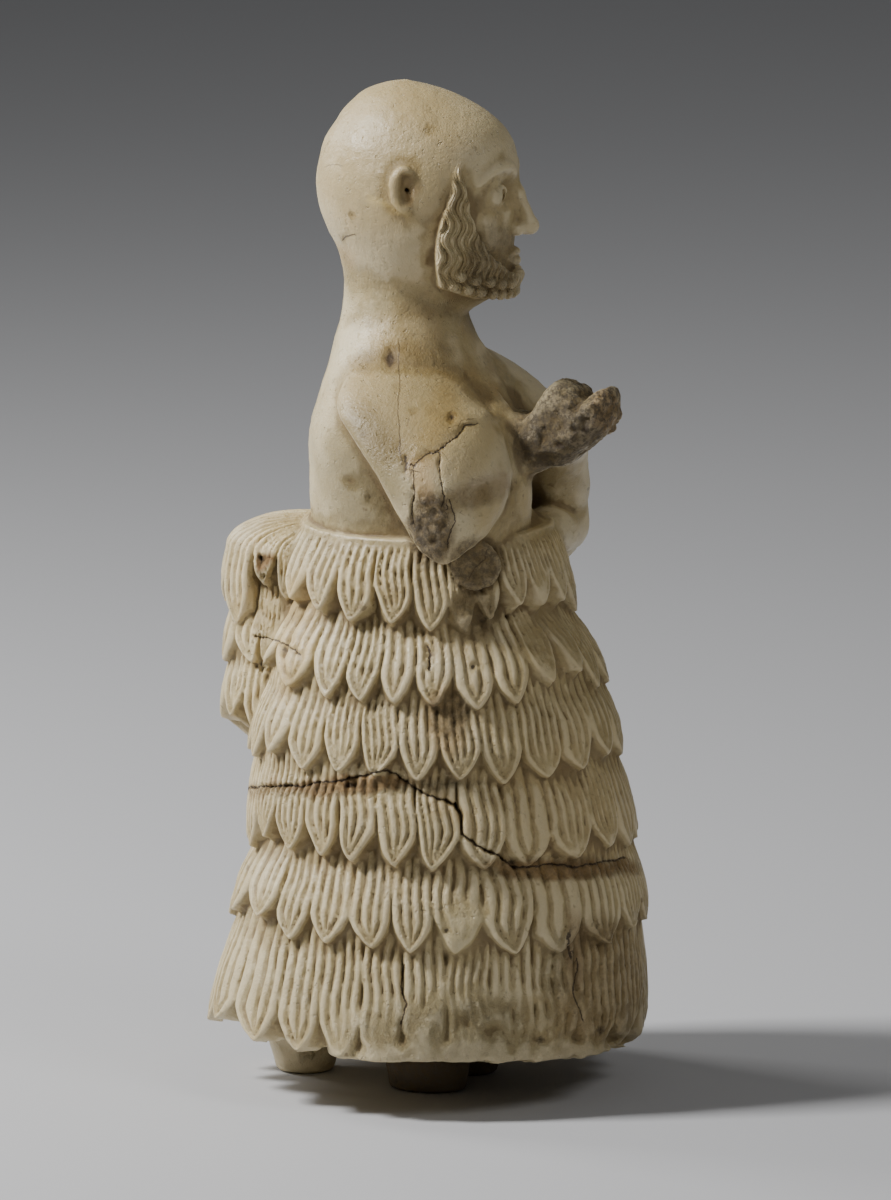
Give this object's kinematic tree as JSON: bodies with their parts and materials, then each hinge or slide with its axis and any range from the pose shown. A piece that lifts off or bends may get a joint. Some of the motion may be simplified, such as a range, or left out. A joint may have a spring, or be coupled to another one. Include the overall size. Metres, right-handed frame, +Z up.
{
  "type": "carved stone worshipper statuette",
  "caption": "Standing bearded worshipper carved from pale stone, in a long skirt of tufted tiers with a tufted bundle at the back, one arm and the clasped hands broken off",
  "frame": {"origin": "middle of the underside of the model's bounding box, on the floor it stands on", "axes": "+Z up along the figure's height, the figure faces -Y, so its own right side is -X"},
  "size_m": [0.2032, 0.2054, 0.4599],
  "materials": {
    "gypsum": "warm grey-beige gypsum stone, worn to a soft waxy sheen, with brownish dirt in the carving"
  },
  "bodies": {
    "root": {"statuette": "gypsum"}
  },
  "joints": []
}
